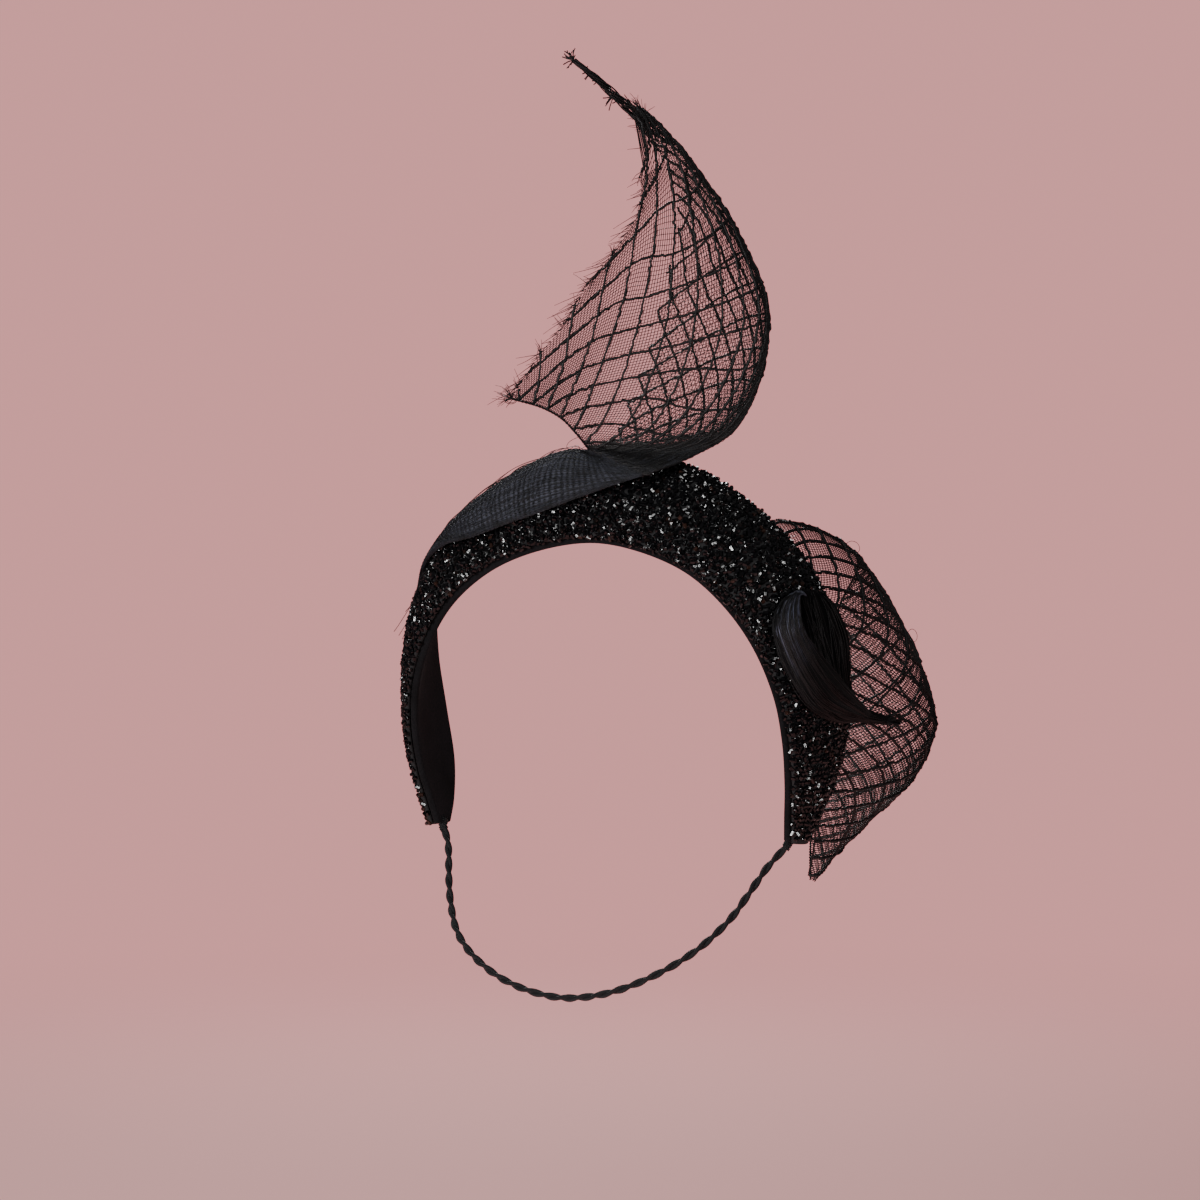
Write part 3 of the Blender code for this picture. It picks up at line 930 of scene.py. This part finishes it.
# A bundle of twisted filaments: near black, with a faint rope-like ripple along it.
heavy_finish, tree, shader = new_finish(
    "black_spun_nylon_trellis", Roughness=0.55, IOR=NYLON_IOR, Specular_IOR_Level=0.3
)
twist = wave(tree, cloth_place(tree), 0.55, "DIAGONAL", Distortion=2.0)
paint(tree, shader, twist, [(0.1, "#050405"), (0.95, "#120f10")], twist, depth=0.12 * MM)

# Gathered threads lie side by side and catch more light; that sheen is painted into their
# colour, which reads as a soft blue-grey black.
gathered_finish, tree, shader = new_finish(
    "black_nylon_gathered_thread_painted_sheen",
    Roughness=0.6,
    Sheen_Weight=0.06,
    Sheen_Roughness=0.4,
    Specular_IOR_Level=0.22,
)
mottle = noise(tree, object_place(tree), 220.0, 3.0)
paint(tree, shader, mottle, [(0.35, "#070709"), (0.65, "#24252d")])


def satin_finish(name, pitches, rib_share, rough, gloss, shades, hollow=None):
    """Gathered crinoline: fine threads along the strip with wavy ribs across it.

    pitches are those of the threads and the ribs in mm, and rib_share is how much the ribs weigh
    beside the threads. gloss is how much light the cloth returns, and shades are its darkest and
    lightest colour; the lighter one is its satin sheen, painted into the colour, and a broad noise
    paints the shade of its folds over the weave. hollow names an axis of the UV map and two places
    on it, in mm: from the first to the second a painted shade darkens the cloth, where its layers
    hide the light.
    """
    thread_pitch, rib_pitch = pitches
    finish, tree, shader = new_finish(
        name,
        Roughness=rough,
        IOR=NYLON_IOR,
        Sheen_Weight=gloss / 5,
        Sheen_Roughness=0.4,
        Specular_IOR_Level=gloss,
    )
    place = cloth_place(tree)
    soft = {"Distortion": 1.2, "Detail": 2.0, "Detail_Scale": 0.5}
    threads = wave(tree, place, WAVE_PITCH / thread_pitch, "Y", **soft)
    turned = add_node(tree, "Mapping", {"Vector": place, "Rotation": (0, 0, math.radians(10))})
    wild = {"Distortion": 3.0, "Detail": 2.0, "Detail_Scale": 0.25}
    ribs = wave(tree, turned.outputs["Vector"], WAVE_PITCH / rib_pitch, "X", **wild)
    woven = maths(tree, "MULTIPLY_ADD", ribs, rib_share, threads)
    # A broad noise dims the weave in patches: painted shade of its folds.
    shade = maths(tree, "MULTIPLY", woven, noise(tree, place, 0.12, 3.0))
    # Painted shade: along one axis of the cloth its colour is dimmed to a tenth and it turns matt.
    if hollow:
        axis, *edge = hollow
        along = add_node(tree, "SeparateXYZ", {"Vector": place}).outputs[axis]
        tree.links.new(rescaled(tree, along, edge, (rough, 1.0)), shader.inputs["Roughness"])
        shade = maths(tree, "MULTIPLY", shade, rescaled(tree, along, edge, (1.0, 0.1)))
    # The lighter of the two shades is painted satin sheen.
    paint(tree, shader, shade, list(zip((0.12, 0.85), shades)), woven, depth=0.3 * MM)
    return finish


# Layers of net under tension: a satin sheen along the strip, painted into the colour up to a
# blue-grey, broken by ribs about 2 mm apart.
roll_finish = satin_finish(
    "black_gathered_crinoline", (0.9, 2.3), 1.6, 0.72, 0.25, ("#050506", "#3c3d47")
)
# The knot's layers are pulled tight and shade each other, so almost no light comes back; away
# from its near edge this shade is also painted into the colour.
knot_finish = satin_finish(
    "black_twisted_crinoline", (0.6, 4.0), 0.25, 0.5, 0.1, ("#020203", "#121317"), ("Y", 2, 8)
)
# The rolled edge is stretched smooth and takes one long sheen, painted into its colour as a pale
# blue-grey on its upper part; a painted shade dims it towards the tail.
lip_finish = satin_finish(
    "black_satin_crinoline_edge", (0.6, 4.0), 0.2, 0.42, 0.22, ("#040405", "#63667a"), ("X", 66, 46)
)
print("finishes:", fine_finish.name, heavy_finish.name, roll_finish.name, knot_finish.name)

# %% [markdown]
# The sail is only thread: the net's own holes let the background through, which no see-through
# material does as well from close by. The heavy threads lie just over the fine ones.

# %% Sail net and trellis
FINE_RADIUS = 0.15 * MM
FINE_SPACING = 1 / 9  # in counts; the real net has 11 threads to a count, too fine to show here
FINE_LIFT, FINE_STEP = 0.05 * MM, 3.0 * MM
HEAVY_RADIUS = 0.52 * MM
HEAVY_LIFT, HEAVY_STEP = 0.12 * MM, 1.3 * MM
SAIL_EDGE = (  # shares of the width, and the row where the cut runs there
    (0, 0.16, 0.21, 0.28, 0.36, 0.40, 0.50, 0.54, 0.58, 0.62, 0.80, 0.85, 0.90, 1.0),
    (8, 7.95, 7.80, 7.90, 7.93, 7.70, 7.55, 7.72, 7.80, 8.00, 8.00, 7.75, 7.20, 6.8),
)


def net_paths(grid, lines, step, lift, kink=0.0):
    """Lines of rows and columns as paths in space, lifted off the sheet and kinked at random."""
    normal = grid_normals(grid)
    paths = []
    for rows, columns, slant in lines:
        path = evenly(lifted(grid, normal, rows, columns, lift * np.sign(slant)), step)
        if kink:
            path = path + chance.normal(0, kink, path.shape)
        paths.append(path)
    return paths


def net_pieces(names, grid, rows, edge, fine_radius, kink, shares, solid):
    """The fine net and the trellis of a strip, and the heavy lines; shares vary their radius."""
    lines = thread_lines(rows, FINE_SPACING, edge, toothed=bool(edge))
    paths = net_paths(grid, lines, FINE_STEP, FINE_LIFT)
    net = thread_piece(names[0], paths, fine_radius, fine_finish, solid)
    lines = thread_lines(rows, 1, edge)
    paths = net_paths(grid, lines, HEAVY_STEP, HEAVY_LIFT, kink)
    radii = [HEAVY_RADIUS * chance.uniform(*shares, len(path)) for path in paths]
    trellis = thread_piece(names[1], paths, radii, heavy_finish, solid, sides=5)
    return net, trellis, lines


sail_net, sail_trellis, sail_heavy_lines = net_pieces(
    ("sail_net", "sail_trellis"),
    sail_grid,
    SAIL_ROWS,
    SAIL_EDGE,
    FINE_RADIUS,
    kink=0.17 * MM,
    shares=(0.75, 1.25),
    solid="swirl",
)

# %% [markdown]
# Each long side of the strip is a selvedge: a doubled cord that the braid turns round. It shows
# as a thicker dark line along the sail's near edge, and later along both edges of the puff.

# %% Selvedges
CORD_RADIUS, CORD_PITCH = 0.3 * MM, 3.2 * MM


def edge_cord(grid, column, reach):
    """Two plies twisted along a grid's edge."""
    rows = np.arange(len(grid), dtype=float)
    line = evenly(on_grid(grid, rows, np.full(len(rows), float(column))), 0.9 * MM)
    return twisted(line, CORD_PITCH, reach, (0.3, 0.2, 0.9))


near_cord = edge_cord(sail_grid, 0, 0.28 * MM)
sail_selvedge = thread_piece("sail_selvedge", near_cord, CORD_RADIUS, heavy_finish, "swirl", sides=5)

# %% [markdown]
# The cut end is frayed: fine threads stick out of it as hairs, and heavy ones end in small tufts.
# Each hair starts on the cut edge, leaves it roughly in the strip's direction and curls.

# %% Frayed edge
FRAY_END = 0.84  # the share of the width where the spike takes over from the fray
FRAY_RADIUS = 0.16 * MM


def hair(start, way, length, curl, step=0.8 * MM):
    """A curling hair from a start in a direction."""
    count = max(4, int(length / step) + 1)
    way = unit(np.array(way, float))
    bend = chance.normal(0, curl, 3)
    path = [np.array(start, float)]
    for _ in range(count - 1):
        way = unit(way + bend * step / MM * 0.1 + chance.normal(0, curl * 0.12, 3))
        path.append(path[-1] + way * step)
    return np.array(path)


def viewer_way(degrees, away=0.0):
    """A direction on the picture, in degrees from the viewer's right, that may point away."""
    turn = math.radians(degrees)
    return from_viewer([math.cos(turn), away, math.sin(turn)]) / MM


def tuft(start, count, turn, away, lengths, curl):
    """Hairs from one start: turn and away are means with their spread, and lengths are in mm."""
    made = []
    for _ in range(count):
        degrees = chance.normal(*turn)
        way = viewer_way(degrees, chance.normal(*away) if away else 0.0)
        made.append(hair(start, way, chance.uniform(*lengths) * MM, curl))
    return made


hairs = []
for share in np.sort(chance.uniform(0.0, FRAY_END, 200)):
    if chance.random() > np.interp(share, (0.0, 0.42, 0.52, FRAY_END), (1.0, 0.9, 0.2, 0.12)):
        continue
    row = np.interp(share, *SAIL_EDGE) * SHEET_STEPS
    rest = np.interp(share, (0.0, 0.6, FRAY_END), (212, 208, 165))
    turn = chance.normal(rest, 10) if chance.random() < 0.95 else chance.normal(130, 25)
    length = min(chance.gamma(2.6, 2.2), 12.0) * MM
    way = viewer_way(turn, chance.normal(0, 0.3))
    hairs.append(hair(on_grid(sail_grid, row, share * LAST_COLUMN), way, length, 0.18))
for rows, columns, _ in sail_heavy_lines:
    for end, before in ((-1, -6), (0, 5)):
        limit = np.interp(columns[end] / LAST_COLUMN, *SAIL_EDGE) * SHEET_STEPS
        if len(rows) < 8 or rows[end] < limit - 1.5:
            continue
        inner, outer = on_grid(sail_grid, rows[[before, end]], columns[[before, end]])
        for _ in range(7):
            way = unit(outer - inner) + chance.normal(0, 0.45, 3)
            hairs.append(hair(outer, way, chance.uniform(2.0, 7.0) * MM, 0.7))
left_tip = sail_grid[-1, 0]
hairs += tuft(left_tip, 26, (155, 42), (0, 0.3), (2.5, 9.5), 0.5)
for larger in (1.0, 1.3):
    turn = np.linspace(0, 2 * math.pi, 26)
    ring = np.stack([-0.6 - 1.9 * np.cos(turn), 0.5 * np.sin(turn), -1.5 * np.sin(turn)], axis=1)
    hairs.append(left_tip + from_viewer(ring * larger))
fray_radii = [FRAY_RADIUS * np.linspace(1.15, 0.45, len(path)) for path in hairs]
sail_fray = thread_piece("sail_fray", hairs, fray_radii, fine_finish, "swirl")

# %% [markdown]
# At the top the far corner of the strip is wrung into a thin spike. It is a bundle of long
# threads that twist round each other, gather from the sail's rim and taper to a curly end.

# %% Spike
SPIKE_LINE = (  # mm across, away and up from the viewer
    (24.0, 18.0, 150.5),
    (17.5, 19.5, 158.5),
    (12.0, 20.0, 165.0),
    (6.5, 17.5, 170.0),
    (0.5, 14.5, 175.0),
    (-5.5, 11.0, 180.0),
    (-11.0, 8.5, 184.3),
    (-13.0, 8.0, 186.0),
)
SPIKE_SPREAD = ((0, 0.18, 0.35, 0.8, 1.0), (4.2, 3.4, 2.2, 1.4, 0.9))  # share of the run, mm
STRAND_COUNT, STRAND_RADIUS = 26, 0.23 * MM
JOIN_FROM, JOIN_TO = 0.64, 0.88  # the shares of the rim that threads gather from

spike_line = evenly(from_viewer(smooth_through(SPIKE_LINE, 8)), 0.9 * MM)
spike_steps = len(spike_line)
spike_run = path_length(spike_line) / path_length(spike_line)[-1]
strands = []
for number in range(STRAND_COUNT):
    reach = np.interp(spike_run, *SPIKE_SPREAD) * chance.uniform(0.25, 1.0) * MM
    turn = spike_run * chance.uniform(7, 11) + number / STRAND_COUNT * 2 * math.pi
    path = wound(spike_line, turn, reach, (0.1, 0.9, 0.2))
    strands.append(path[int(chance.uniform(0, 0.5) * spike_steps) :])
for share in np.linspace(JOIN_FROM, JOIN_TO, 16):
    cut = on_grid(sail_grid, 79.0, share * LAST_COLUMN)
    joins = int(np.interp(share, (JOIN_FROM, JOIN_TO), (0.42, 0.28)) * spike_steps)
    strands.append(smooth_through([cut, spike_line[joins], spike_line[joins + 8]], 8))
strands += tuft(spike_line[-1], 18, (150, 45), (0, 0.4), (2.5, 7.0), 0.9)
strands += tuft(spike_line[int(0.6 * spike_steps)], 5, (228, 9), None, (4, 6.5), 0.5)
for _ in range(16):
    start = spike_line[int(chance.uniform(0.25, 0.95) * spike_steps)]
    way = viewer_way(chance.uniform(60, 250), chance.normal(0, 0.4))
    strands.append(hair(start, way, chance.uniform(1.5, 4.0) * MM, 0.8))
sail_spike = thread_piece("sail_spike", strands, STRAND_RADIUS, heavy_finish, "swirl", sides=4)

# %% [markdown]
# The roll is the same strip gathered to less than half of its width, so its layers close up to a
# dark satin. It is a pleated sheet under a layer of real threads. The pleats run along the roll
# and are waves of a quarter of a millimetre in the sheet itself.

# %% Roll
RIB_PITCH = 2.3 * MM
HEAD_MIDDLE = (0.0, 0.0, -0.05)
LOOSE_RADIUS = 0.14 * MM


def pleated(grid, pleats, depth, wander=0.6, fade_share=0.1):
    """The grid's points moved in and out along its normals, as pleats along the strip."""
    rows, across = grid.shape[:2]
    i = np.linspace(0, 1, rows)[:, None]
    j = np.linspace(0, 1, across)[None, :]
    drift = wander * np.sin(i * 5.1 + j * 3.0) + 0.4 * wander * np.sin(i * 11.3 + 1.0)
    swell = np.sin(2 * math.pi * (pleats * j + drift))
    swell = swell + 0.5 * np.sin(2 * math.pi * (pleats * 2.3 * j - drift))
    fade = np.clip(i / fade_share, 0, 1) * np.clip((1 - i) / fade_share, 0, 1)
    return grid + grid_normals(grid) * (swell * fade * depth)[..., None]


roll_rows = np.linspace(0, ROLL_END, 2 * ROLL_END + 1)
roll_columns = np.linspace(0, LAST_COLUMN, 3 * LAST_COLUMN + 1)
roll_fine = on_grid(roll_grid, *np.meshgrid(roll_rows, roll_columns, indexing="ij"))
roll_core = laid_grid("roll_core", pleated(roll_fine, 16, 0.25 * MM))
finish_piece(roll_core, roll_finish, "net", "swirl")
roll_normal = facing(strip_grid, 20, 20, strip_grid[20, 20] - HEAD_MIDDLE)


def over_roll(rows, share, lift, step, ripple=0.0):
    """A path over the roll at rows and shares of the width, lifted off it and rippled."""
    columns = (share * LAST_COLUMN).clip(0, LAST_COLUMN)
    travel = path_length(on_grid(strip_grid, rows, columns)) + 3 * MM * share
    swell = np.sin(travel / RIB_PITCH * 2 * math.pi + 4 * np.sin(travel / (31 * MM)))
    lifts = (lift + ripple * swell)[:, None]
    return evenly(lifted(strip_grid, roll_normal, rows, columns, lifts), step)


roll_threads = []
for share in np.arange(0.0, 0.92, 0.0125):
    first = chance.uniform(0.0, 1.2) * SHEET_STEPS
    last = chance.uniform(5.9, 8.9) * SHEET_STEPS
    rows = np.arange(first, last, 0.25)
    wander = 0.008 * np.sin(rows * 0.35 + chance.uniform(0, 6)) + chance.normal(0, 0.003)
    lift = chance.uniform(0.3, 0.5) * MM
    roll_threads.append(over_roll(rows, share + wander, lift, 0.8 * MM, 0.16 * MM))
for row in np.arange(0.35, 6.3, 0.15) * SHEET_STEPS:
    share = np.linspace(chance.uniform(0.0, 0.05), chance.uniform(0.42, 0.72), 40)
    rows = row + 1.4 * share / 0.6 + 0.35 * np.sin(share * 17 + row)
    rows = rows + 0.15 * chance.normal() * np.sin(share * 31)
    roll_threads.append(over_roll(rows, share, 0.4 * MM, 1.6 * MM))
radii = [chance.uniform(0.09, 0.16) * MM for _ in roll_threads]
thread_piece("roll_net", roll_threads, radii, gathered_finish, "swirl")

loose_threads = []
for _ in range(56):
    first = chance.uniform(0.1, 4.6) * SHEET_STEPS
    rows = np.arange(first, first + chance.uniform(0.5, 1.6) * SHEET_STEPS, 0.5)
    arch = np.sin(np.linspace(0, math.pi, len(rows)))[:, None]
    columns = (chance.uniform(0.0, 0.14) + 0.01 * np.sin(rows)) * LAST_COLUMN
    lift = 0.5 * MM + arch * chance.uniform(0.3, 1.3) * MM
    loose_threads.append(lifted(strip_grid, roll_normal, rows, columns, lift))
for _ in range(12):
    way = from_viewer([-0.35, 0.1, -0.93]) / MM + chance.normal(0, 0.10, 3)
    start = strip_grid[0, 20] + chance.normal(0, 1.2, 3) * MM
    loose_threads.append(hair(start, way, chance.uniform(6, 26) * MM, 0.10))
thread_piece("roll_loose", loose_threads, LOOSE_RADIUS, fine_finish, "swirl")

# %% [markdown]
# The puff is a second length of crinoline, caught under the rear of the halo along one side and
# blown out behind the ear like a shell. It is made as the sail is, from its own rows and counts.

# %% Puff
SHELL_ROWS = (  # mm as before, then the count n, and the count m at the near and far edges
    ((60.4, -17.6, 8.2), (64.5, -11, 10.5), (67, -7, 10), (0.0, 6.1, 7.6)),
    ((71.5, -23.3, -4.1), (82, 2, 5), (88, 10, 2.5), (1.6, 3.7, 8.2)),
    ((79.9, -25.2, -19.6), (102, 15, -11.5), (98, 30, -8), (3.6, 1.6, 8.9)),
    ((85.5, -23.3, -38.1), (116, 26, -34), (92, 52, -25.5), (5.6, 0.3, 11.0)),
    ((87.5, -20, -56.3), (123.5, 32, -57.5), (86.2, 64, -48.8), (7.4, 0.0, 12.7)),
    ((87.3, -18.4, -66.3), (124.5, 34, -74), (83, 68, -71.2), (8.6, 0.0, 13.1)),
    ((84.9, -16.8, -79.7), (117, 32, -92.5), (82, 62, -90.4), (10.0, 0.0, 12.3)),
    ((79.6, -17.3, -95.6), (100.5, 26, -109.5), (81, 50, -107.5), (11.7, 1.2, 10.6)),
    ((79.5, -2, -114), (88, 20, -122), (79.5, 32, -121.2), (13.0, 4.1, 8.7)),
    ((78, 12, -128.5), (80.5, 15, -131.2), (79, 19, -130.8), (13.9, 6.4, 7.6)),
)
SHELL_FOLD_STEP = 7.0

shell_rows = []
for near, fold, far, (n, low, high) in SHELL_ROWS:
    steps = (low, (low + SHELL_FOLD_STEP) / 2, SHELL_FOLD_STEP, high)
    shell_rows.append(NetRow(near, fold, far, None, (n, n, n, n), steps))
shell_grid = net_grid(shell_rows)
puff_net, puff_trellis, _ = net_pieces(
    ("puff_net", "puff_trellis"),
    shell_grid,
    shell_rows,
    None,
    FINE_RADIUS * 1.2,
    kink=0.16 * MM,
    shares=(0.9, 1.35),
    solid="puff",
)
cords = edge_cord(shell_grid, 0, 0.25 * MM) + edge_cord(shell_grid, LAST_COLUMN, 0.25 * MM)
puff_selvedge = thread_piece("puff_selvedge", cords, CORD_RADIUS, heavy_finish, "puff", sides=5)

# %% [markdown]
# The knot is the same strip twisted tight at the side of the halo. It opens at the top in a
# rolled lip and ends in a tail that is pinched into the puff. Its layers hide the holes, so it is
# a pleated satin sheet with a skin of threads.

# %% Knot
KNOT_ROWS = (  # mm across, away and up from the viewer, from the tail to the open top
    NetRow((111, -5, -68.6), (112, -6.5, -68.0), (113, -3.5, -67.2)),
    NetRow((97, -19, -66.2), (98.5, -21, -64.6), (100, -16.5, -62.8)),
    NetRow((84.5, -38.5, -64.8), (88.5, -37, -60.5), (92.5, -29, -56.8)),
    NetRow((74.1, -49.2, -58.9), (83.4, -45.5, -49), (91, -32.5, -47.5), (77.5, -51, -53)),
    NetRow((65.6, -51.6, -43.4), (79, -47, -35.5), (90.5, -35, -33), (69.5, -54, -39.5)),
    NetRow((61.5, -50.1, -29.2), (76, -46.5, -23.5), (85.5, -37.5, -21.5), (66, -54, -26.5)),
    NetRow((63.8, -47.2, -20.2), (74, -46, -15.5), (80.5, -38.5, -16.5), (67.5, -50, -17)),
)
knot_grid = net_grid(KNOT_ROWS)
knot_core = laid_grid("knot_core", pleated(knot_grid, 7, 0.45 * MM, 0.3, 0.05))
finish_piece(knot_core, knot_finish, "net", "rosette")

LIP_ROWS = (  # the rolled edge, from the tail up the near side and over the top
    NetRow((97, -19.5, -65.9), (98.6, -21.8, -64.6), (100.2, -19.5, -63.2)),
    NetRow((79, -45, -62), (84.5, -47.5, -56), (88.7, -43.5, -50.5)),
    NetRow((71.8, -50.5, -54.5), (76.5, -56, -46.5), (79.5, -53.5, -39.8)),
    NetRow((64.2, -51.8, -38), (69.5, -60, -33.5), (73, -58, -30.2)),
    NetRow((61.3, -50.5, -28.5), (67.5, -59.5, -25), (71.1, -57.5, -22.5)),
    NetRow((65, -48.5, -19.5), (69, -54.5, -18), (71.5, -53, -17)),
    NetRow((70, -46, -15.5), (73, -49, -16), (74, -48.5, -17.5)),
)
lip_grid = net_grid(LIP_ROWS)
knot_lip = laid_grid("knot_lip", pleated(lip_grid, 4, 0.2 * MM, 0.3, 0.05))
finish_piece(knot_lip, lip_finish, "net", "rosette")


def skin_threads(grid, middle_row, count, last_row):
    """Threads that run along a gathered strip, on the side that the viewer sees."""
    normal = facing(grid, middle_row, LAST_COLUMN // 2, camera_way)
    made = []
    for _ in range(count):
        first = chance.uniform(0, 1.5) * SHEET_STEPS
        last = chance.uniform(last_row - 2, last_row) * SHEET_STEPS
        rows = np.arange(first, last, 1.0)
        lean = chance.uniform(-0.12, 0.12) * np.linspace(-1, 1, len(rows))
        columns = ((chance.uniform(0.0, 1.0) + lean) * LAST_COLUMN).clip(0, LAST_COLUMN)
        made.append(evenly(lifted(grid, normal, rows, columns, 0.5 * MM), 1.8 * MM))
    return made


knot_threads = skin_threads(knot_grid, 30, 60, 6.0) + skin_threads(lip_grid, 40, 36, 5.8)
knot_threads += tuft(knot_grid[4, 40], 22, (-22, 26), (0.5, 0.3), (4, 13), 0.35)
radii = [chance.uniform(0.08, 0.17) * MM for _ in knot_threads]
thread_piece("knot_net", knot_threads, radii, heavy_finish, "rosette", sides=4)

# %% [markdown]
# A few hairs have worked loose and stand off as open loops: one by the roll's upper end, one on
# the puff's top and one at its side. They are small, but a net without them looks machine-drawn.

# %% Stray hairs
LOOPS = (  # the middle of each loop from the viewer in mm, its width, its height and its turn
    ((-11.5, -2.0, 39.0), 9.0, 4.5, 20.0),
    ((94.0, 2.0, -1.0), 5.0, 5.5, 60.0),
    ((119.0, 26.0, -36.0), 3.5, 5.0, 10.0),
)
STRAY_RADIUS = 0.1 * MM

strays = []
for middle, wide, high, degrees in LOOPS:
    turn = np.linspace(-2.3, 3.6, 40)
    across, up = wide / 2 * np.cos(turn), high / 2 * np.sin(turn)
    cosine, sine = math.cos(math.radians(degrees)), math.sin(math.radians(degrees))
    away = 0.8 * np.sin(turn * 0.7)
    loop = np.stack([across * cosine - up * sine, away, across * sine + up * cosine], axis=1)
    strays.append(from_viewer(loop + middle))
thread_piece("stray_hairs", strays, STRAY_RADIUS, fine_finish, "swirl", "puff", sides=4)
